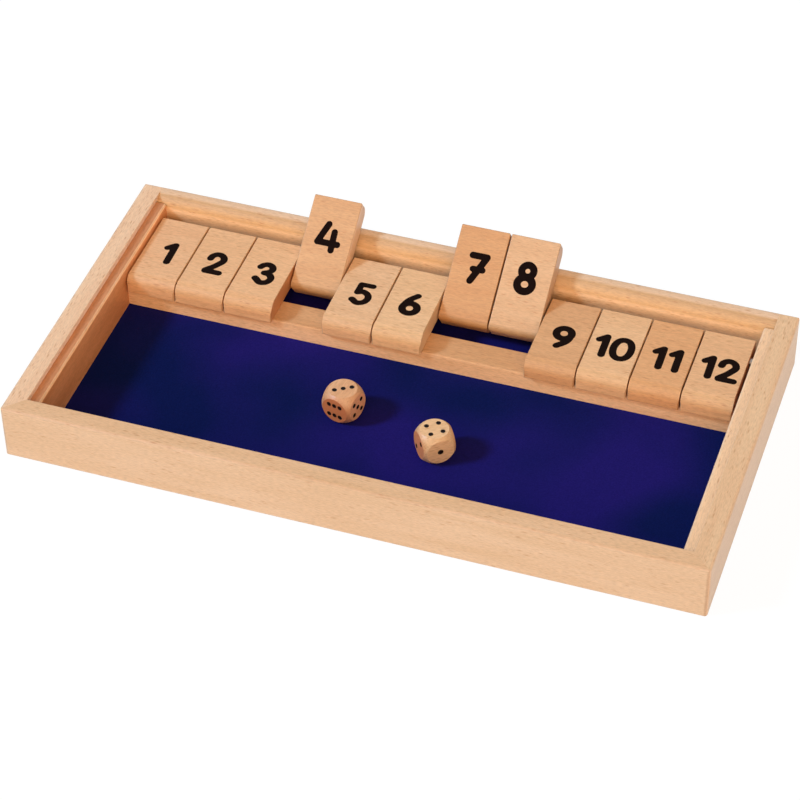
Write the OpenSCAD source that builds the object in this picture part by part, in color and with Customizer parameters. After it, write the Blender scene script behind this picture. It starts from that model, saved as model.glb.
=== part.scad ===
// Shut the box: a tray of beech rails around a felt playing field, with a row of
// numbered tiles that hinge on one steel rod, and two dice.
// Millimetres. X runs along the front, Y to the back, Z up.
// The origin is the middle of the tray's underside.

/* [Tray] */
// Thickness of the front and side rails
rail_w = 10; // [8:0.5:14]
// Thickness of the back rail
back_rail_w = 10; // [9:0.5:14]
// Height of the tray
rail_h = 29; // [27:0.5:33]
// Thickness of the base board
base_t = 2; // [1.5:0.5:4]
// Thickness of the felt
felt_t = 1; // [0.5:0.25:2]
// Rounding of the tray's outer top edges
edge_r = 1.5; // [0.5:0.25:2.5]
// Rounding of the tray's bottom edges
foot_r = 0.4; // [0.2:0.2:2]
// Rounding of the tray's four upright corners
corner_r = 2; // [0.5:0.5:4]
// Rounding of the front rail's inner top edge
lip_r = 0.4; // [0.2:0.1:1.5]
// Rounding of the side rails' inner top edges
inner_r = 0.3; // [0.2:0.1:1.5]
// Round-over of the back rail's inner top edge, which raised tiles lean on
lean_r = 6.9; // [4:0.1:7.5]

/* [Playing field] */
// Depth of the open field, from the front rail to the rest bar
field_d = 105.6; // [90:0.2:130]
// Width of the side strips that carry the rod
strip_w = 5.4; // [4:0.2:8]
// Step from the side rails down to the strips
strip_step = 2.7; // [0.5:0.1:4]
// Rounding of the strips' inner top edges
strip_r = 1.4; // [0.3:0.1:3]
// Width of the bar that the tiles' noses rest on
bar_w = 14.9; // [10:0.1:18]
// Height of the rest bar above the felt
bar_h = 9.8; // [8:0.1:11.5]
// Rounding of the rest bar's top edges
bar_r = 0.8; // [0.3:0.1:2]

/* [Tiles] */
// Width of one tile, along the rod
tile_w = 24.9; // [20:0.1:30]
// Thickness of a tile
tile_t = 9.8; // [8:0.1:11]
// Length of a tile in front of the rod
tile_front = 37.4; // [32:0.2:42]
// Length of a tile behind the rod
tile_back = 11.6; // [9:0.2:12]
// Height of the rod above a tile's underside
axle_h = 5.6; // [4.5:0.1:6]
// Gap between two tiles
tile_gap = 0.7; // [0.4:0.1:1.5]
// Gap between the left strip and the first tile
left_gap = 0.8; // [0.5:0.1:2]
// Gap between the last tile and the right strip
right_gap = 1.9; // [0.5:0.1:3]
// How far the noses reach over the rest bar's front face
nose_over = 2.8; // [0:0.2:6]
// Rounding of the nose's top edge
nose_r = 6; // [2:0.5:7]
// Rounding of the heel's lower edge, which swings past the felt
heel_r = 4; // [2:0.5:4.5]
// Rounding of a tile's long edges
tile_edge_r = 0.4; // [0.2:0.1:1.5]
// Rounding of a tile's four corners, seen from above
tile_corner_r = 0.8; // [0.4:0.1:3]
// Space behind the flat tiles, up to the back rail
heel_gap = 6.2; // [4.5:0.2:9]

/* [Rod] */
// Diameter of the steel rod
rod_d = 4; // [2:0.1:5]
// Radial clearance around the rod
rod_clearance = 0.05; // [0.02:0.01:0.1]

/* [Dice] */
// Edge length of a die
die_s = 16; // [14:0.5:18]
// Diameter of the sphere that rounds a die's corners
die_round = 21; // [19:0.25:24]
// Diameter of a pip
pip_d = 2.3; // [1.2:0.1:2.6]
// Diameter of the single pip on the face of one
pip_one_d = 2.9; // [1.2:0.1:4]
// Depth of a pip
pip_depth = 0.45; // [0.2:0.05:0.8]
// Distance of the outer pips from a face's middle
pip_step = 3; // [2.6:0.1:3.4]
// First die: distance to the left of the tray's middle
die_a_left = 25.9; // [12:0.1:60]
// First die: distance of its middle from the front rail
die_a_in = 62.5; // [20:0.5:75]
// First die: turn about the vertical, in degrees
die_a_turn = -13.75; // [-45:0.25:45]
// Second die: distance to the right of the tray's middle
die_b_right = 23.9; // [12:0.1:60]
// Second die: distance of its middle from the front rail
die_b_in = 49.5; // [20:0.5:75]
// Second die: turn about the vertical, in degrees
die_b_turn = 38.2; // [-45:0.25:45]

/* [Hidden] */
$fn = 64;
// Rest clearances between pieces that move and what they rest on
rest_gap = 0.1;
lean_gap = 0.3;
rod_end_gap = 0.2;
// Overshoot of cuts beyond the faces they start from
over = 1;

tile_n = 12;
up_tiles = [4, 7, 8];
tile_pitch = tile_w + tile_gap;
tile_l = tile_front + tile_back;
tile_top = tile_t - axle_h;

side_w = rail_w + strip_w;
row_l = tile_n * tile_w + (tile_n - 1) * tile_gap;
inner_l = row_l + left_gap + right_gap;
case_l = inner_l + 2 * side_w;

bar_y = rail_w + field_d;
hinge_y = bar_y - nose_over + tile_front;
back_y = hinge_y + tile_back + heel_gap;
case_w = back_y + back_rail_w;
inner_w = back_y - rail_w;

felt_top = base_t + felt_t;
tile_z = felt_top + bar_h + rest_gap;
hinge_z = tile_z + axle_h;
strip_h = rail_h - strip_step - base_t;

// A raised tile's face lies on the back rail's round-over. The arc's middle is
// seen from the hinge, and the tile turns until its face clears the arc.
arc_y = back_y + lean_r - hinge_y;
arc_z = rail_h - lean_r - hinge_z;
arc_off = tile_top + lean_r + lean_gap;
lean_angle = atan2(arc_z, arc_y) + asin(arc_off / norm([arc_y, arc_z]));
raise_angle = 180 - lean_angle;

hole_r = rod_d / 2 + rod_clearance;
die_z = felt_top + rest_gap + die_s / 2;

// Radius of the ball that leaves a pip of diameter d
function pip_ball(d) = (pow(d / 2, 2) + pow(pip_depth, 2)) / (2 * pip_depth);

// Pips of each number, as steps from the face's middle
pip_1 = [[0, 0]];
pip_2 = [[-1, -1], [1, 1]];
pip_4 = [[-1, -1], [1, 1], [-1, 1], [1, -1]];
pips = [
    [],
    pip_1,
    pip_2,
    concat(pip_1, pip_2),
    pip_4,
    concat(pip_1, pip_4),
    concat(pip_4, [[0, -1], [0, 1]])
];

beech = "#E4BC94";
beech_light = "#E8C8A4";
beech_warm = "#DCA878";
beech_tan = "#D6AC84";
steel = "#B8BABD";
felt_blue = "#141C66";
die_beech = "#D9A873";

// Moves a shape drawn from the tray's front left corner into the part's frame
module in_tray() {
    translate([-case_l / 2, -case_w / 2, 0]) children();
}

// Extrudes an outline of width and height along the tray's length
module along_x(length) {
    rotate([90, 0, 90]) linear_extrude(length) children();
}

// Extrudes an outline of width and height along the tray's depth
module along_y(length) {
    translate([0, length, 0]) rotate([90, 0, 0]) linear_extrude(length) children();
}

// What a rounding of radius r takes from a corner at the origin
module corner_waste(r) {
    difference() {
        translate([-over, -over]) square(r + over);
        translate([r, r]) circle(r);
    }
}

// Rectangle with its own rounding at each corner: lower left, lower right,
// upper right, upper left
module soft_rect(w, h, r) {
    difference() {
        square([w, h]);
        if (r[0] > 0) corner_waste(r[0]);
        if (r[1] > 0) translate([w, 0]) rotate(90) corner_waste(r[1]);
        if (r[2] > 0) translate([w, h]) rotate(180) corner_waste(r[2]);
        if (r[3] > 0) translate([0, h]) rotate(270) corner_waste(r[3]);
    }
}

// The tray's outer form as one block, rounded on every outside edge
module tray_form() {
    side = [foot_r, foot_r, edge_r, edge_r];
    intersection() {
        linear_extrude(rail_h) soft_rect(case_l, case_w, [for (i = [0:3]) corner_r]);
        along_x(case_l) soft_rect(case_w, rail_h, side);
        along_y(case_w) soft_rect(case_l, rail_h, side);
    }
}

// The part of the tray's form within an outline seen from above
module rail(outline) {
    intersection() {
        tray_form();
        linear_extrude(rail_h) polygon(outline);
    }
}

// Mitred at both ends. The inner edge is rounded between the side rails only.
module front_rail() {
    color(beech) in_tray() difference() {
        rail([[0, 0], [case_l, 0], [case_l - rail_w, rail_w], [rail_w, rail_w]]);
        translate([rail_w, rail_w, rail_h])
            along_x(case_l - 2 * rail_w) rotate(180) corner_waste(lip_r);
    }
}

// Fitted between the side rails, with its round-over along its whole length
module back_rail() {
    color(beech) in_tray() intersection() {
        tray_form();
        translate([rail_w, back_y, 0]) along_x(case_l - 2 * rail_w)
            soft_rect(back_rail_w, rail_h, [0, 0, 0, lean_r]);
    }
}

// Side rail with its outer face at x = 0, mitred in front and running to the back
module side_rail() {
    difference() {
        rail([[0, 0], [rail_w, rail_w], [rail_w, case_w], [0, case_w]]);
        translate([rail_w, rail_w, rail_h])
            along_y(inner_w) rotate(180) corner_waste(inner_r);
    }
}

module left_rail() {
    color(beech_light) in_tray() side_rail();
}

module right_rail() {
    color(beech) mirror([1, 0, 0]) in_tray() side_rail();
}

// Strip along the inside of the left rail, drilled for the rod
module side_strip() {
    difference() {
        translate([rail_w, rail_w, base_t])
            along_y(inner_w) soft_rect(strip_w, strip_h, [0, 0, strip_r, 0]);
        translate([rail_w - over, hinge_y, hinge_z])
            rotate([0, 90, 0]) cylinder(h = strip_w + 2 * over, r = hole_r);
    }
}

module left_strip() {
    color(beech) in_tray() side_strip();
}

module right_strip() {
    color(beech) mirror([1, 0, 0]) in_tray() side_strip();
}

module rest_bar() {
    color(beech_light) in_tray() translate([side_w, bar_y, felt_top])
        along_x(inner_l) soft_rect(bar_w, bar_h, [0, 0, bar_r, bar_r]);
}

module base_board() {
    color(beech_tan) in_tray() translate([rail_w, rail_w, 0])
        cube([case_l - 2 * rail_w, inner_w, base_t]);
}

module felt() {
    color(felt_blue) in_tray() translate([side_w, rail_w, base_t])
        cube([inner_l, inner_w, felt_t]);
}

module rod() {
    color(steel) in_tray() translate([rail_w + rod_end_gap, hinge_y, hinge_z])
        rotate([0, 90, 0]) cylinder(h = case_l - 2 * (rail_w + rod_end_gap), d = rod_d);
}

// One tile lying flat, with the rod's axis along x through the origin
module tile_block() {
    difference() {
        translate([0, -tile_front, -axle_h]) intersection() {
            along_x(tile_w)
                soft_rect(tile_l, tile_t, [tile_edge_r, heel_r, tile_edge_r, nose_r]);
            along_y(tile_l)
                soft_rect(tile_w, tile_t, [for (i = [0:3]) tile_edge_r]);
            linear_extrude(tile_t)
                soft_rect(tile_w, tile_l, [for (i = [0:3]) tile_corner_r]);
        }
        translate([-over, 0, 0])
            rotate([0, 90, 0]) cylinder(h = tile_w + 2 * over, r = hole_r);
    }
}

// Tile number n on the rod, flat or raised
module tile(n) {
    raised = len(search(n, up_tiles)) > 0;
    in_tray()
        translate([side_w + left_gap + (n - 1) * tile_pitch, hinge_y, hinge_z])
        rotate([raised ? -raise_angle : 0, 0, 0]) tile_block();
}

module tile_1() {
    color(beech) tile(1);
}

module tile_2() {
    color(beech) tile(2);
}

module tile_3() {
    color(beech) tile(3);
}

module tile_4() {
    color(beech_light) tile(4);
}

module tile_5() {
    color(beech_light) tile(5);
}

module tile_6() {
    color(beech_light) tile(6);
}

module tile_7() {
    color(beech_warm) tile(7);
}

module tile_8() {
    color(beech_light) tile(8);
}

module tile_9() {
    color(beech_tan) tile(9);
}

module tile_10() {
    color(beech) tile(10);
}

module tile_11() {
    color(beech_warm) tile(11);
}

module tile_12() {
    color(beech) tile(12);
}

// The dimples of one face, drawn on the face's plane at the die's top
module face_pips(number) {
    ball = pip_ball(number == 1 ? pip_one_d : pip_d);
    for (p = pips[number])
        translate([p[0] * pip_step, p[1] * pip_step, die_s / 2 + ball - pip_depth])
            sphere(ball);
}

// A die about its own middle. Opposite faces add up to seven.
module die(top, front, right) {
    difference() {
        intersection() {
            cube(die_s, center = true);
            sphere(d = die_round);
        }
        face_pips(top);
        rotate([180, 0, 0]) face_pips(7 - top);
        rotate([90, 0, 0]) face_pips(front);
        rotate([90, 0, 180]) face_pips(7 - front);
        rotate([90, 0, 90]) face_pips(right);
        rotate([90, 0, 270]) face_pips(7 - right);
    }
}

module die_a() {
    color(die_beech)
        translate([-die_a_left, rail_w + die_a_in - case_w / 2, die_z])
        rotate([0, 0, die_a_turn]) die(3, 6, 5);
}

module die_b() {
    color(die_beech)
        translate([die_b_right, rail_w + die_b_in - case_w / 2, die_z])
        rotate([0, 0, die_b_turn]) die(4, 1, 5);
}

front_rail();
back_rail();
left_rail();
right_rail();
left_strip();
right_strip();
rest_bar();
base_board();
felt();
rod();
tile_1();
tile_2();
tile_3();
tile_4();
tile_5();
tile_6();
tile_7();
tile_8();
tile_9();
tile_10();
tile_11();
tile_12();
die_a();
die_b();
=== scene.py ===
"""Shut the box: the looks of a beech tray with twelve hinged number tiles and two dice."""

import math

import bpy
from mathutils import Matrix, Vector


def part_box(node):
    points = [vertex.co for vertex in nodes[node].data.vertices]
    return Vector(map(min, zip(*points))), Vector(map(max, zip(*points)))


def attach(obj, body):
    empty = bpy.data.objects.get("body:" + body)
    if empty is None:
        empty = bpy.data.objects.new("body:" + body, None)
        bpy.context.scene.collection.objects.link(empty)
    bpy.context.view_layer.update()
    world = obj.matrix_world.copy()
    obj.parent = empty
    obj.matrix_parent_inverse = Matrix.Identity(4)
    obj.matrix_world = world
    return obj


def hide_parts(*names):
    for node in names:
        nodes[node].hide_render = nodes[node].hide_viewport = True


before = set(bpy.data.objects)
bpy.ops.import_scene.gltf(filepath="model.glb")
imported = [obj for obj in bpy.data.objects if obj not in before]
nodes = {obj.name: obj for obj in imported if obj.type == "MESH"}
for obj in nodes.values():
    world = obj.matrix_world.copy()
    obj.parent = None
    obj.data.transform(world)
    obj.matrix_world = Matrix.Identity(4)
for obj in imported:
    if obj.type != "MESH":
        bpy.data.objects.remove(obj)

bpy.ops.object.select_all(action="DESELECT")
bpy.context.view_layer.update()
MM = 0.001


# Camera. A long lens looks down on the tray from the front and a little from the
# right, at the photograph's angle. The picture is square, so the sensor is too.
camera_data = bpy.data.cameras.new("camera")
camera_data.sensor_width = 36
camera_data.lens = 125.35
camera_data.clip_start = 0.05
camera_at = Vector((318.78, -926.915, 908.762)) * MM
looks_at = Vector((-4.55, 3.73, 0)) * MM
camera_roll = -0.0149
camera = bpy.data.objects.new("camera", camera_data)
ahead = (looks_at - camera_at).normalized()
camera.matrix_world = (
    Matrix.Translation(camera_at)
    @ ahead.to_track_quat("-Z", "Y").to_matrix().to_4x4()
    @ Matrix.Rotation(camera_roll, 4, "Z")
)
bpy.context.scene.collection.objects.link(camera)
bpy.context.scene.camera = camera


# Studio. A white table without an edge. A cool key light from the left throws the
# shadows, a broad warm lamp in front fills them, a reflector at table height lights
# the right side, and the walls are bright.
def paint(code):
    """An sRGB hex colour as linear values."""
    parts = [int(code[i : i + 2], 16) / 255 for i in (0, 2, 4)]
    return [c / 12.92 if c < 0.04045 else ((c + 0.055) / 1.055) ** 2.4 for c in parts] + [1]


def add(tree, kind, links=None, **settings):
    """Adds one node with its settings, and sets or links its inputs."""
    made = tree.nodes.new(kind)
    for name, value in settings.items():
        setattr(made, name, value)
    for socket, value in (links or {}).items():
        if isinstance(value, bpy.types.NodeSocket):
            tree.links.new(value, made.inputs[socket])
        else:
            made.inputs[socket].default_value = value
    return made


def empty_material(name):
    """A material with nothing but its output, and that output."""
    made = bpy.data.materials.new(name)
    made.use_nodes = True
    made.node_tree.nodes.clear()
    return made, made.node_tree, made.node_tree.nodes.new("ShaderNodeOutputMaterial")


def seen_directly(tree):
    """1 where the camera, a mirror or a clear body looks straight at the surface."""
    path = add(tree, "ShaderNodeLightPath")
    either = add(
        tree,
        "ShaderNodeMath",
        {0: path.outputs["Is Camera Ray"], 1: path.outputs["Is Glossy Ray"]},
        operation="MAXIMUM",
    )
    return add(
        tree,
        "ShaderNodeMath",
        {0: either.outputs[0], 1: path.outputs["Is Transmission Ray"]},
        operation="MAXIMUM",
    ).outputs[0]


world = bpy.data.worlds.new("studio")
world.use_nodes = True
tree = world.node_tree
tree.nodes.clear()
walls = add(tree, "ShaderNodeBackground", {"Color": paint("F5F3FF"), "Strength": 1.17})
ceiling = add(tree, "ShaderNodeBackground", {"Color": paint("FFE6B1"), "Strength": 0.38})
white = add(tree, "ShaderNodeBackground", {"Color": paint("FFFFFF"), "Strength": 1})
aim = add(tree, "ShaderNodeTexCoord")
height = add(tree, "ShaderNodeSeparateXYZ", {0: aim.outputs["Generated"]})
up_share = add(
    tree,
    "ShaderNodeMapRange",
    {0: height.outputs[2], 1: 0.05, 2: 0.6},
    interpolation_type="SMOOTHSTEP",
)
room = add(
    tree,
    "ShaderNodeMixShader",
    {0: up_share.outputs[0], 1: walls.outputs[0], 2: ceiling.outputs[0]},
)
sky = add(
    tree,
    "ShaderNodeMixShader",
    {0: seen_directly(tree), 1: room.outputs[0], 2: white.outputs[0]},
)
add(tree, "ShaderNodeOutputWorld", {0: sky.outputs[0]})
bpy.context.scene.world = world

# Each lamp: strength, apparent width in degrees, colour, and where it stands
lamps = {
    "key": (2.2, 10, "BBDDFF", (-0.63, -0.32, 0.57)),
    "front": (2.0, 60, "FFD4AE", (0.25, -0.85, 0.47)),
    "reflector": (0.9, 3, "C8DEFF", (1.0, -0.08, 0)),
}
for name, (strength, width, colour, stands) in lamps.items():
    lamp_data = bpy.data.lights.new(name, "SUN")
    lamp_data.energy = strength
    lamp_data.angle = math.radians(width)
    lamp_data.color = paint(colour)[:3]
    lamp = bpy.data.objects.new(name, lamp_data)
    lamp.rotation_euler = Vector(stands).to_track_quat("Z", "Y").to_euler()
    bpy.context.scene.collection.objects.link(lamp)

# The table: wide enough to fill every view, and a hair below the tray
table_wide = 8
table_below = 0.2
bpy.ops.mesh.primitive_plane_add(size=table_wide, location=(0, 0, -table_below * MM))
table = bpy.context.object
table.name = "table"
bpy.ops.object.transform_apply(location=True, rotation=True, scale=True)
table_white, tree, out = empty_material("white table")
lit = add(tree, "ShaderNodeBsdfDiffuse", {"Color": paint("AAAAAA")})
shine = add(tree, "ShaderNodeEmission", {"Color": paint("FFFFFF"), "Strength": 1.18})
# The table is white by itself where it is looked at, and keeps a fifth of the shadow
own_white = 0.8
share = add(tree, "ShaderNodeMath", {0: seen_directly(tree), 1: own_white}, operation="MULTIPLY")
top = add(
    tree, "ShaderNodeMixShader", {0: share.outputs[0], 1: lit.outputs[0], 2: shine.outputs[0]}
)
tree.links.new(top.outputs[0], out.inputs[0])
table.data.materials.append(table_white)
bpy.ops.object.select_all(action="DESELECT")


# Tray rails. Four beech rails, planed, sanded and clear lacquered. They are mitred in
# front, and the back rail is glued between the side rails. The wood is pale, with
# short brown flecks.
fleck_brown, end_brown = "B4794A", "CF9A6A"
# Rounded edges are painted a shade darker than the flats: painted shade, which also dims the
# highlight that the lamps put on them
painted_edge_shade = (0.88, 0.85, 0.8)


def beech(
    name, pale, deep, grain, shift, end=end_brown, edge=painted_edge_shade, side=(1, 1, 1), tilt=0
):
    """Clear lacquered beech whose fibres run along the angle grain, seen from above.

    pale and deep are the tones of its growth bands and end that of its end grain. edge
    and side scale the colour of its rounded edges and of its upright long faces: painted
    light and shade, not the wood's own colour. shift moves the figure, so that no two
    boards show the same one, and tilt is how far the board is swung up.
    """
    made, tree, out = empty_material(name)
    at = add(tree, "ShaderNodeTexCoord")
    turned = add(
        tree,
        "ShaderNodeMapping",
        {"Vector": at.outputs["Object"], "Rotation": (0, 0, -grain), "Location": shift},
    )

    def stretched(along, across):
        """The board's own coordinates, where 1 is one figure long and one wide, in mm."""
        size = (1 / (along * MM), 1 / (across * MM), 1 / (across * MM))
        return add(
            tree, "ShaderNodeMapping", {"Vector": turned.outputs[0], "Scale": size}
        ).outputs[0]

    def dashes(along, across, least, most):
        """Short strokes of random depth, from 0 to 1, one in each cell of that size."""
        cells = add(tree, "ShaderNodeTexVoronoi", {"Vector": stretched(along, across), "Scale": 1})
        crowd = add(
            tree, "ShaderNodeTexNoise", {"Vector": stretched(25, 8), "Scale": 1, "Detail": 1}
        )
        reach = add(
            tree, "ShaderNodeMapRange", {0: crowd.outputs[0], 1: 0.35, 2: 0.65, 3: least, 4: most}
        )
        inside = add(
            tree,
            "ShaderNodeMapRange",
            {0: cells.outputs["Distance"], 1: 0.08, 2: reach.outputs[0], 3: 1, 4: 0},
        )
        return add(
            tree,
            "ShaderNodeMath",
            {0: cells.outputs["Color"], 1: inside.outputs[0]},
            operation="MULTIPLY",
        ).outputs[0]

    # Growth bands: about 6 mm wide and a hand long
    bands = add(
        tree,
        "ShaderNodeTexNoise",
        {"Vector": stretched(70, 6), "Scale": 1, "Detail": 3, "Roughness": 0.55, "Distortion": 0.4},
    )
    tone = add(tree, "ShaderNodeValToRGB", {0: bands.outputs[0]})
    tone.color_ramp.elements[0].position = 0.2
    tone.color_ramp.elements[1].position = 0.8
    tone.color_ramp.elements[0].color = paint(deep)
    tone.color_ramp.elements[1].color = paint(pale)
    # Pores: fine lines 2 to 3 mm long, drawn coarser than they are so that they show
    pores = add(
        tree,
        "ShaderNodeTexNoise",
        {"Vector": stretched(2.8, 0.5), "Scale": 1, "Detail": 3, "Roughness": 0.6},
    )
    pore_tone = add(
        tree, "ShaderNodeMapRange", {0: pores.outputs[0], 1: 0.3, 2: 0.62, 3: 0.84, 4: 1.05}
    )
    wood = add(
        tree,
        "ShaderNodeMix",
        {0: 1.0, 6: tone.outputs[0], 7: pore_tone.outputs[0]},
        data_type="RGBA",
        blend_type="MULTIPLY",
    )
    # Medullary flecks: brown dashes 2 to 3 mm long, dense in places
    flecks = dashes(5.5, 1.1, 0.2, 0.42)
    fleck_share = add(tree, "ShaderNodeMath", {0: flecks, 1: 0.85}, operation="MULTIPLY")
    flecked = add(
        tree,
        "ShaderNodeMix",
        {0: fleck_share.outputs[0], 6: wood.outputs[2], 7: paint(fleck_brown)},
        data_type="RGBA",
    )
    # End grain drinks more lacquer and turns deeper. The upright long faces and the
    # rounded edges are painted lighter or darker by the gains that the piece is given:
    # painted light and shade
    facing = add(
        tree, "ShaderNodeMapping", {"Vector": at.outputs["Normal"], "Rotation": (tilt, 0, -grain)}
    )
    faced = add(tree, "ShaderNodeVectorMath", {0: facing.outputs[0]}, operation="ABSOLUTE")
    sides = add(tree, "ShaderNodeSeparateXYZ", {0: faced.outputs[0]})
    end_share = add(
        tree, "ShaderNodeMapRange", {0: sides.outputs[0], 1: 0.6, 2: 0.97, 3: 0, 4: 0.9}
    )
    ended = add(
        tree,
        "ShaderNodeMix",
        {0: end_share.outputs[0], 6: flecked.outputs[2], 7: paint(end)},
        data_type="RGBA",
    )
    side_share = add(
        tree, "ShaderNodeMapRange", {0: sides.outputs[1], 1: 0.6, 2: 0.97, 3: 0, 4: 1}
    )
    side_painted_light = add(
        tree,
        "ShaderNodeMix",
        {0: side_share.outputs[0], 6: ended.outputs[2], 7: (*side, 1)},
        data_type="RGBA",
        blend_type="MULTIPLY",
    )
    flattest = add(
        tree, "ShaderNodeMath", {0: sides.outputs[0], 1: sides.outputs[1]}, operation="MAXIMUM"
    )
    flattest = add(
        tree, "ShaderNodeMath", {0: flattest.outputs[0], 1: sides.outputs[2]}, operation="MAXIMUM"
    )
    edge_share = add(
        tree, "ShaderNodeMapRange", {0: flattest.outputs[0], 1: 0.99, 2: 0.93, 3: 0, 4: 1}
    )
    body = add(
        tree,
        "ShaderNodeMix",
        {0: edge_share.outputs[0], 6: side_painted_light.outputs[2], 7: (*edge, 1)},
        data_type="RGBA",
        blend_type="MULTIPLY",
    )
    # The surface: pores and flecks lie a little lower, and thin lacquer leaves it satin
    relief = add(
        tree,
        "ShaderNodeMath",
        {0: flecks, 1: -0.6, 2: pores.outputs[0]},
        operation="MULTIPLY_ADD",
    )
    bump = add(
        tree,
        "ShaderNodeBump",
        {"Height": relief.outputs[0], "Distance": 0.03 * MM, "Strength": 0.5},
    )
    rough = add(tree, "ShaderNodeMapRange", {0: pores.outputs[0], 1: 0.2, 2: 0.8, 3: 0.52, 4: 0.4})
    shader = add(
        tree,
        "ShaderNodeBsdfPrincipled",
        {
            "Base Color": body.outputs[2],
            "Roughness": rough.outputs[0],
            "Normal": bump.outputs[0],
            "IOR": 1.5,
            "Coat Weight": 0.1,
            "Coat Roughness": 0.3,
        },
    )
    tree.links.new(shader.outputs[0], out.inputs[0])
    return made


def dress(node, material):
    """Gives a node of the tray its finish."""
    slots = nodes[node].data.materials
    for i in range(len(slots)):
        slots[i] = material


ALONG_X = 0
ALONG_Y = math.pi / 2
# The front rail's rounded edges carry painted shade, and its upright faces carry painted light that
# is a little cooler
dress(
    "front_rail",
    beech(
        "beech of the front rail",
        "E8C39E",
        "DAB186",
        ALONG_X,
        (0.3, 0, 0),
        edge=(0.83, 0.82, 0.83),
        side=(0.92, 1.01, 1.08),
    ),
)
# The back rail's pale, greyish flats are partly a painted reflection. Its round-over is painted
# much darker and warmer, which is painted shade, and its upright faces are painted warmer
dress(
    "back_rail",
    beech(
        "beech of the back rail",
        "EACBAE",
        "DCB894",
        ALONG_X,
        (0.9, 0.2, 0),
        edge=(0.74, 0.65, 0.49),
        side=(1.08, 1.0, 0.8),
    ),
)
dress("left_rail", beech("beech of the left rail", "F2D3B3", "E8C09D", ALONG_Y, (0.1, 0.7, 0)))
dress(
    "right_rail",
    beech("beech of the right rail", "E7C69F", "DEB68E", ALONG_Y, (0.5, 0.4, 0), edge=(1, 1, 1)),
)


# Side strips. Two beech strips glued inside the side rails, drilled for the rod and
# sanded round at their inner top edge.
# The left strip's deep orange tone is partly painted shade. Its rounded inner edge is painted far
# lighter, a painted highlight, and its upright faces are painted lighter, which is painted light on
# its shaded inner wall
dress(
    "left_strip",
    beech(
        "beech of the left strip",
        "D49468",
        "BE7A4A",
        ALONG_Y,
        (0.7, 0.1, 0.2),
        edge=(1.4, 2.0, 2.7),
        side=(1.35, 1.3, 1.15),
    ),
)
dress(
    "right_strip",
    beech("beech of the right strip", "F8D6B0", "EBC29A", ALONG_Y, (0.2, 0.9, 0.2), edge=(1, 1, 1)),
)


# Rest bar. A square beech bar across the tray, glued on the felt, that carries the
# noses of the flat tiles.
# The bar's darker top tone is painted shade, and its front and back faces are painted much lighter,
# which is painted light
dress(
    "rest_bar",
    beech(
        "beech of the rest bar",
        "DBA97A",
        "CC9666",
        ALONG_X,
        (0.4, 0.6, 0.1),
        side=(1.35, 1.5, 1.65),
    ),
)


# Base board. A thin beech board let in between the rails and glued, which closes the
# tray and carries the felt. It is seen only from below.
dress("base_board", beech("beech of the base board", "DDB68C", "CFA376", ALONG_X, (0.8, 0.3, 0.4)))


# Felt. One sheet of pressed wool felt, dyed blue, cut to the tray's inside and glued
# on the base board. It runs on under the rest bar and the tiles.
felt_low, felt_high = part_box("felt")
felt_size = felt_high - felt_low
felt_middle = (felt_low + felt_high) / 2
# Cells of about 2 mm
bpy.ops.mesh.primitive_grid_add(x_subdivisions=160, y_subdivisions=80, size=1)
felt = bpy.context.object
felt.name = "felt_sheet"
felt.data.transform(
    Matrix.Translation((felt_middle.x, felt_middle.y, felt_high.z))
    @ Matrix.Diagonal((felt_size.x, felt_size.y, 1, 1))
)
pressed = felt.modifiers.new("thickness", "SOLIDIFY")
pressed.thickness = felt_size.z
pressed.offset = -1
bpy.ops.object.modifier_apply(modifier="thickness")

# Wool felt is matt, drinks the light and shows no gloss. The dye took unevenly: violet
# clouds on navy. The plain navy along the short sides is painted shade
felt_wool, tree, out = empty_material("pressed wool felt")
at = add(tree, "ShaderNodeTexCoord")
cloud_wide = 75
clouds = add(
    tree,
    "ShaderNodeTexNoise",
    {
        "Vector": at.outputs["Object"],
        "Scale": 1 / (cloud_wide * MM),
        "Detail": 1.5,
        "Roughness": 0.5,
    },
)
along = add(tree, "ShaderNodeSeparateXYZ", {0: at.outputs["Object"]})
out_by = add(tree, "ShaderNodeMath", {0: along.outputs[0]}, operation="ABSOLUTE")
clouds_from, clouds_to = 110, 150
short_side_shade = add(
    tree,
    "ShaderNodeMapRange",
    {0: out_by.outputs[0], 1: clouds_from * MM, 2: clouds_to * MM, 3: 0, 4: 0.1},
)
clouds_less_shade = add(
    tree, "ShaderNodeMath", {0: clouds.outputs[0], 1: short_side_shade.outputs[0]}, operation="SUBTRACT"
)
dye_and_shade = add(tree, "ShaderNodeValToRGB", {0: clouds_less_shade.outputs[0]})
dye_and_shade.color_ramp.elements[0].position = 0.36
dye_and_shade.color_ramp.elements[1].position = 0.64
dye_and_shade.color_ramp.elements[0].color = paint("08164F")
dye_and_shade.color_ramp.elements[1].color = paint("1E186C")
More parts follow.
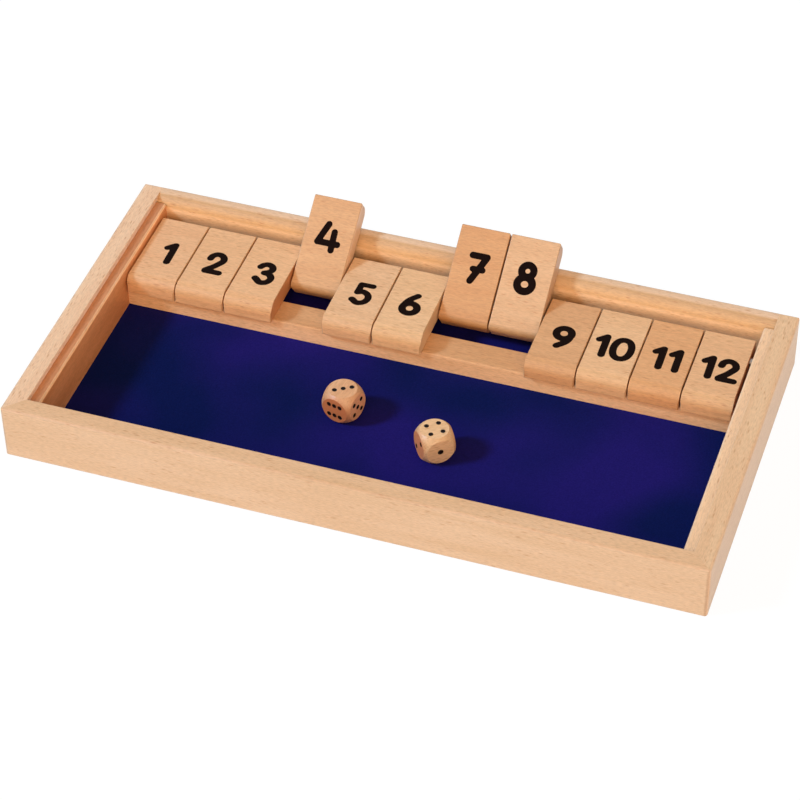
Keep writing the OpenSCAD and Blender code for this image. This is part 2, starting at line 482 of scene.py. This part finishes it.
# The fibres are far finer than a pixel, so they are drawn as grains of 0.8 mm
wool = add(
    tree,
    "ShaderNodeTexNoise",
    {"Vector": at.outputs["Object"], "Scale": 1 / (0.8 * MM), "Detail": 4, "Roughness": 0.7},
)
wool_tone = add(tree, "ShaderNodeMapRange", {0: wool.outputs[0], 1: 0.3, 2: 0.7, 3: 0.8, 4: 1.2})
felt_colour = add(
    tree,
    "ShaderNodeMix",
    {0: 1.0, 6: dye_and_shade.outputs[0], 7: wool_tone.outputs[0]},
    data_type="RGBA",
    blend_type="MULTIPLY",
)
nap = add(
    tree, "ShaderNodeBump", {"Height": wool.outputs[0], "Distance": 0.25 * MM, "Strength": 0.6}
)
shader = add(
    tree,
    "ShaderNodeBsdfPrincipled",
    {
        "Base Color": felt_colour.outputs[2],
        "Roughness": 0.95,
        "Normal": nap.outputs[0],
        "Specular IOR Level": 0.05,
        "Sheen Weight": 0.03,
        "Sheen Roughness": 0.5,
        "Sheen Tint": paint("3040A0"),
    },
)
tree.links.new(shader.outputs[0], out.inputs[0])
felt.data.materials.append(felt_wool)
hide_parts("felt")
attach(felt, "tray")
bpy.ops.object.select_all(action="DESELECT")


# Rod. A straight drawn steel rod through both strips and all the tiles, on which the
# tiles turn. Drawing leaves fine lines along it, which give it a dull sheen.
rod_steel, tree, out = empty_material("drawn steel")
at = add(tree, "ShaderNodeTexCoord")
lines = add(
    tree,
    "ShaderNodeMapping",
    {"Vector": at.outputs["Object"], "Scale": (1 / (20 * MM), 1 / (0.3 * MM), 1 / (0.3 * MM))},
)
drawn = add(tree, "ShaderNodeTexNoise", {"Vector": lines.outputs[0], "Scale": 1, "Detail": 3})
rough = add(tree, "ShaderNodeMapRange", {0: drawn.outputs[0], 1: 0.2, 2: 0.8, 3: 0.3, 4: 0.5})
bump = add(
    tree, "ShaderNodeBump", {"Height": drawn.outputs[0], "Distance": 0.01 * MM, "Strength": 0.4}
)
shader = add(
    tree,
    "ShaderNodeBsdfPrincipled",
    {
        "Base Color": paint("A8A39C"),
        "Metallic": 1,
        "Roughness": rough.outputs[0],
        "Normal": bump.outputs[0],
    },
)
tree.links.new(shader.outputs[0], out.inputs[0])
dress("rod", rod_steel)


# Tiles. Twelve lengths cut from one beech moulding, whose grain runs along the rod,
# with sanded edges, and lacquered. Each board has its own tone.
TILES = range(1, 13)
# These three are swung up at rest and lean on the back rail
RAISED = (4, 7, 8)
raised_by = math.radians(144.532)
# The pale and the deep bands of each tile, and its end grain. The end grain of tiles 3 and 12 is
# painted deeper, which is painted shade, and that of tile 4 paler, which is painted light
tile_tones = {
    1: ("EBBE93", "E1AE82", "DCAE82"),
    2: ("ECBF93", "E1B082", "DCAC7C"),
    3: ("EDC093", "E2B082", "C87F4B"),
    4: ("D1A679", "C69668", "E2B890"),
    5: ("EBC299", "E0B388", "D8AA80"),
    6: ("EDC498", "E3B789", "E0B486"),
    7: ("CC9C6C", "C18B5A", "BE8658"),
    8: ("D4AE86", "CA9F75", "BC9068"),
    9: ("DFAD7E", "D29E6F", "CC9A6C"),
    10: ("EBC195", "E1B284", "DCAE82"),
    11: ("E3AF7D", "D69D6B", "CC9A6C"),
    12: ("E7BA8D", "DCAB7E", "A85C36"),
}
# Rounded edges and the nose and heel faces of the tiles are painted darker and warmer: painted
# shade
nose_edge_shade, nose_side_shade = (0.83, 0.82, 0.77), (0.93, 0.85, 0.74)
for n in TILES:
    pale, deep, end = tile_tones[n]
    tilt = raised_by if n in RAISED else 0
    shift = (0.37 * n, 0.21 * n, 0.13 * n)
    wood = beech(
        f"beech of tile {n}", pale, deep, ALONG_X, shift, end, nose_edge_shade, nose_side_shade, tilt=tilt
    )
    dress(f"tile_{n}", wood)


# Numbers. Screen printed in black on both faces of each tile, in round strokes. Each
# stroke is drawn as a tube with round ends, the strokes are fused, and the sign is
# pressed flat to a film of ink.
stroke_wide = 3.7
film_high = 0.03
# The strokes of each digit: points in mm from its middle, whether they form a ring, and
# the share of the full width
digits = {
    "0": [([(0, 6.85), (4.3, 0), (0, -6.85), (-4.3, 0)], True, 1)],
    "1": [([(-2.1, 4.0), (1.1, 6.9)], False, 0.95), ([(1.25, 6.9), (1.5, -6.4)], False, 1)],
    "2": [
        ([(-4.1, 2.9), (-3.5, 5.2), (-0.55, 6.8), (2.7, 3.9), (1.0, -0.6), (-3.5, -6.1)], False, 1),
        ([(-3.45, -6.65), (3.7, -6.65)], False, 1),
    ],
    "3": [
        ([(-3.5, 4.5), (-2.2, 6.3), (0.3, 7.0), (2.85, 4.6), (2.0, 2.0), (-0.2, 0.6)], False, 1),
        ([(-0.2, 0.6), (2.5, 0.0), (4.3, -3.3), (0.9, -6.9), (-3.3, -4.3)], False, 1),
    ],
    "4": [
        ([(-1.55, 6.9), (-5.2, -2.7)], False, 0.92),
        ([(-5.2, -2.7), (5.1, -2.7)], False, 0.9),
        ([(2.3, 3.4), (2.65, -6.0)], False, 0.9),
    ],
    "5": [
        ([(-2.4, 7.0), (3.4, 7.05)], False, 0.92),
        ([(-2.5, 7.0), (-2.7, 1.1)], False, 0.92),
        ([(-2.7, 0.9), (0.35, 1.85), (3.7, -2.2), (0.15, -6.65), (-3.7, -4.8)], False, 0.97),
    ],
    "6": [
        ([(1.35, 7.0), (-1.9, 2.9), (-3.5, -1.5)], False, 0.98),
        ([(0.1, 0.8), (3.75, -2.85), (0.1, -6.5), (-3.55, -2.85)], True, 1.05),
    ],
    "7": [
        ([(-3.5, 6.3), (3.9, 6.3)], False, 0.92),
        ([(3.8, 6.0), (-1.85, -6.6)], False, 0.95),
        ([(-1.9, -0.5), (3.1, -0.5)], False, 0.85),
    ],
    "8": [
        ([(-0.5, 6.85), (2.5, 3.8), (-0.5, 0.75), (-3.5, 3.8)], True, 1),
        ([(-0.45, 0.6), (3.3, -2.97), (-0.45, -6.55), (-4.2, -2.97)], True, 1.05),
    ],
    "9": [
        ([(0.05, 6.1), (3.8, 2.35), (0.05, -1.4), (-3.7, 2.35)], True, 1.05),
        ([(3.75, 1.6), (2.7, -2.6), (-1.2, -7.1)], False, 1),
    ],
}


def printed_sign(strokes):
    """The mesh of one digit, lying on z = 0 and facing up, with its middle at the origin."""
    parts = []
    for points, closed, wide in strokes:
        radius = stroke_wide / 2 * wide * MM
        bpy.ops.curve.primitive_bezier_curve_add()
        pen = bpy.context.object
        pen.data.bevel_depth = radius
        pen.data.bevel_resolution = 5
        pen.data.use_fill_caps = True
        pen.data.resolution_u = 10
        line = pen.data.splines[0]
        line.bezier_points.add(len(points) - 2)
        line.use_cyclic_u = closed
        for knot, (x, y) in zip(line.bezier_points, points):
            knot.co = (x * MM, y * MM, 0)
            knot.radius = 1
            knot.handle_left_type = knot.handle_right_type = "AUTO"
        bpy.ops.object.convert(target="MESH")
        parts.append(bpy.context.object)
        for x, y in [] if closed else [points[0], points[-1]]:
            bpy.ops.mesh.primitive_uv_sphere_add(
                segments=24, ring_count=12, radius=radius, location=(x * MM, y * MM, 0)
            )
            parts.append(bpy.context.object)
    bpy.ops.object.select_all(action="DESELECT")
    for part in parts:
        part.select_set(True)
    bpy.context.view_layer.objects.active = parts[0]
    bpy.ops.object.join()
    sign = bpy.context.object
    bpy.ops.object.transform_apply(location=True, rotation=True, scale=True)
    fused = sign.modifiers.new("fused", "REMESH")
    fused.mode = "VOXEL"
    fused.voxel_size = 0.2 * MM
    bpy.ops.object.modifier_apply(modifier="fused")
    mesh = sign.data
    for corner in mesh.vertices:
        corner.co.z = max(corner.co.z, 0) * film_high / (stroke_wide / 2)
    bpy.data.objects.remove(sign)
    return mesh


# Screen ink dries matt and black, with a little unevenness over the pores of the wood
ink, tree, out = empty_material("screen printing ink")
at = add(tree, "ShaderNodeTexCoord")
grit = add(
    tree,
    "ShaderNodeTexNoise",
    {"Vector": at.outputs["Object"], "Scale": 1 / (1.2 * MM), "Detail": 3},
)
ink_tone = add(tree, "ShaderNodeValToRGB", {0: grit.outputs[0]})
ink_tone.color_ramp.elements[0].color = paint("0B0403")
ink_tone.color_ramp.elements[1].color = paint("1A0D09")
ink_bump = add(
    tree, "ShaderNodeBump", {"Height": grit.outputs[0], "Distance": 0.02 * MM, "Strength": 0.4}
)
shader = add(
    tree,
    "ShaderNodeBsdfPrincipled",
    {
        "Base Color": ink_tone.outputs[0],
        "Roughness": 0.6,
        "Normal": ink_bump.outputs[0],
        "Specular IOR Level": 0.03,
    },
)
tree.links.new(shader.outputs[0], out.inputs[0])

signs = {digit: printed_sign(strokes) for digit, strokes in digits.items()}
# What each tile says: digits and their shift from the middle of the print, in mm
right_by = {1: 0.8, 2: 0.7, 3: 0.6, 4: 0.3, 5: 0.5, 6: 0.2, 7: 0.3, 8: 0.3, 9: 0.2}
prints = {n: [(str(n), right_by[n], 0)] for n in right_by}
prints[10] = [("1", -6.0, -0.4), ("0", 4.2, -0.3)]
prints[11] = [("1", -3.6, -0.6), ("1", 4.5, -0.6)]
prints[12] = [("1", -5.3, 0.2), ("2", 5.0, 0.3)]
# Middle of the print: from the heel on the top face, from the nose on the underside
top_print_in = 25.7
under_print_in = 20.7
# Where a flat tile lies, in mm
tile_wide, tile_gap, first_left = 24.9, 0.7, -153.8
heel_y, nose_y, face_z, under_z = 72.8, 23.8, 22.7, 12.9
hinge = Vector((0, 61.2, 18.5)) * MM
swung_up = Matrix.Rotation(-raised_by, 4, "X")
raised = Matrix.Translation(hinge) @ swung_up @ Matrix.Translation(-hinge)
turned_over = Matrix.Rotation(math.pi, 4, "X")


def as_one(copies, name, material, body):
    """Joins copies of a mesh into one piece with its material, riding on a body."""
    bpy.ops.object.select_all(action="DESELECT")
    for copy in copies:
        bpy.context.scene.collection.objects.link(copy)
        copy.select_set(True)
    bpy.context.view_layer.objects.active = copies[0]
    bpy.ops.object.join()
    piece = bpy.context.object
    piece.name = name
    bpy.ops.object.shade_smooth_by_angle(angle=math.radians(40))
    piece.data.materials.clear()
    piece.data.materials.append(material)
    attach(piece, body)
    bpy.ops.object.select_all(action="DESELECT")


for n in TILES:
    middle = first_left + (n - 1) * (tile_wide + tile_gap) + tile_wide / 2
    copies = []
    for digit, right, up in prints[n]:
        place = Matrix.Translation(Vector((right, up, 0)) * MM)
        on_top = Matrix.Translation(Vector((middle, heel_y - top_print_in, face_z)) * MM) @ place
        below = (
            Matrix.Translation(Vector((middle, nose_y + under_print_in, under_z)) * MM)
            @ turned_over
            @ place
        )
        for side in (on_top, below):
            copy = bpy.data.objects.new("print", signs[digit].copy())
            copy.data.transform((raised if n in RAISED else Matrix()) @ side)
            copies.append(copy)
    as_one(copies, f"number_{n}", ink, f"tile_{n}")


# Dice. Two beech cubes turned to a ball at the corners, sanded and lacquered, with
# drilled pips that are dipped in black paint.
die_turns = {"die_a": -13.75, "die_b": 38.2}
die_middles = {"die_a": (-25.9, -16.5, 11.1), "die_b": (23.9, -29.5, 11.1)}
# Each die: its pale and deep bands, the turn of its fibres from its front face, its end
# grain, and the gain on its upright long faces, which is painted light. Its ball corners
# take the painted edge shade
die_tones = {
    "die_a": ("E2B289", "D29767", math.pi / 2, "BC6E3E", (1.2, 1.07, 1.07)),
    "die_b": ("EFC89E", "E4B785", 0, "D78047", (1.12, 1.17, 1.22)),
}
die_half = 8
pip_step, pip_deep = 3, 0.45
small_pip, large_pip = 2.3, 2.9
# Where the pips of each number stand, in steps from the middle of the face
corners = [(-1, -1), (1, 1), (-1, 1), (1, -1)]
pips = {
    1: [(0, 0)],
    2: corners[:2],
    3: [(0, 0), *corners[:2]],
    4: corners,
    5: [(0, 0), *corners],
    6: [*corners, (0, -1), (0, 1)],
}
# Each face of a die: how it is turned from the top, and its number on each die
turn = math.pi / 2
faces = [
    (Matrix(), 3, 4),
    (Matrix.Rotation(2 * turn, 4, "X"), 4, 3),
    (Matrix.Rotation(turn, 4, "X"), 6, 1),
    (Matrix.Rotation(2 * turn, 4, "Z") @ Matrix.Rotation(turn, 4, "X"), 1, 6),
    (Matrix.Rotation(turn, 4, "Z") @ Matrix.Rotation(turn, 4, "X"), 5, 5),
    (Matrix.Rotation(3 * turn, 4, "Z") @ Matrix.Rotation(turn, 4, "X"), 2, 2),
]


def pip_coat(pip_wide):
    """One coat of paint: the cap of a ball that lies in a drilled pip below z = 0."""
    ball = ((pip_wide / 2) ** 2 + pip_deep**2) / (2 * pip_deep)
    middle = ball - pip_deep
    off_wood, below_rim, thick = 0.01, 0.02, 0.03
    bpy.ops.mesh.primitive_uv_sphere_add(
        segments=24, ring_count=32, radius=(ball - off_wood) * MM, location=(0, 0, middle * MM)
    )
    cap = bpy.context.object
    bpy.ops.object.transform_apply(location=True, rotation=True, scale=True)
    bpy.ops.object.mode_set(mode="EDIT")
    bpy.ops.mesh.select_all(action="SELECT")
    bpy.ops.mesh.bisect(
        plane_co=(0, 0, -below_rim * MM), plane_no=(0, 0, 1), clear_outer=True
    )
    bpy.ops.mesh.select_all(action="SELECT")
    bpy.ops.mesh.flip_normals()
    bpy.ops.object.mode_set(mode="OBJECT")
    coat = cap.modifiers.new("coat", "SOLIDIFY")
    coat.thickness = thick * MM
    coat.offset = 1
    bpy.ops.object.modifier_apply(modifier="coat")
    mesh = cap.data
    bpy.data.objects.remove(cap)
    return mesh


small_coat, large_coat = pip_coat(small_pip), pip_coat(large_pip)

# Enamel pools at the bottom of a pip, nearly black, with a soft gloss
pip_paint, tree, out = empty_material("black pip enamel")
at = add(tree, "ShaderNodeTexCoord")
pool = add(
    tree,
    "ShaderNodeTexNoise",
    {"Vector": at.outputs["Object"], "Scale": 1 / (0.6 * MM), "Detail": 2},
)
pool_tone = add(tree, "ShaderNodeValToRGB", {0: pool.outputs[0]})
pool_tone.color_ramp.elements[0].color = paint("0E0807")
pool_tone.color_ramp.elements[1].color = paint("1E110C")
shader = add(
    tree,
    "ShaderNodeBsdfPrincipled",
    {"Base Color": pool_tone.outputs[0], "Roughness": 0.4, "Specular IOR Level": 0.12},
)
tree.links.new(shader.outputs[0], out.inputs[0])

for column, die in enumerate(("die_a", "die_b")):
    yaw = math.radians(die_turns[die])
    pale, deep, fibres, end, side = die_tones[die]
    shift = (0.2 + column, 0.6, 0.3)
    wood = beech(f"beech of {die}", pale, deep, yaw + fibres, shift, end, side=side)
    dress(die, wood)
    at_die = Matrix.Translation(Vector(die_middles[die]) * MM) @ Matrix.Rotation(yaw, 4, "Z")
    copies = []
    for face, *numbers in faces:
        for across, up in pips[numbers[column]]:
            middle = Vector((across * pip_step, up * pip_step, die_half)) * MM
            coat = large_coat if numbers[column] == 1 else small_coat
            copy = bpy.data.objects.new("pip", coat.copy())
            copy.data.transform(at_die @ face @ Matrix.Translation(middle))
            copies.append(copy)
    as_one(copies, f"{die}_pips", pip_paint, die)


# Finish.
bpy.context.scene.view_settings.view_transform = "Standard"
bpy.context.view_layer.update()
